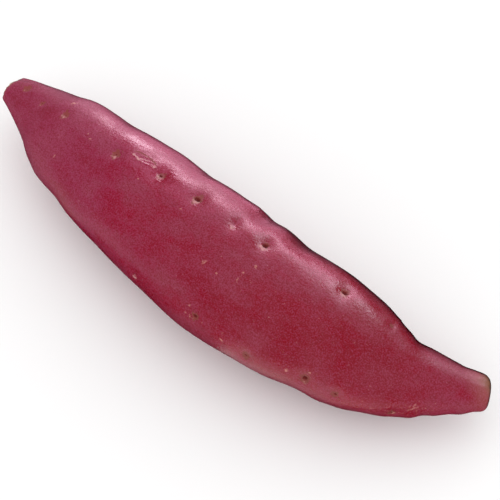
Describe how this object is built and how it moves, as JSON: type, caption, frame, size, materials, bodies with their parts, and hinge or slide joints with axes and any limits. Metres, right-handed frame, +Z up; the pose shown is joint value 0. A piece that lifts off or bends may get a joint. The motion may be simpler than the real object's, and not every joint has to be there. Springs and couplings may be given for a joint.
{
  "type": "sweet potato",
  "caption": "Whole raw sweet potato root, spindle-shaped, with a broken stem end, a bent blunt tail, rows of shallow eyes and a small flat spot it rests on.",
  "frame": {"origin": "on the resting surface, under the middle of the root's box", "axes": "+Z up, +X along the root from its broken stem end to its bent tail, +Y towards the side of the ridge that carries the larger eyes"},
  "size_m": [0.2344, 0.0576, 0.0511],
  "materials": {
    "skin": "satin"
  },
  "bodies": {
    "root": {"sweet_potato": "skin"}
  },
  "joints": []
}
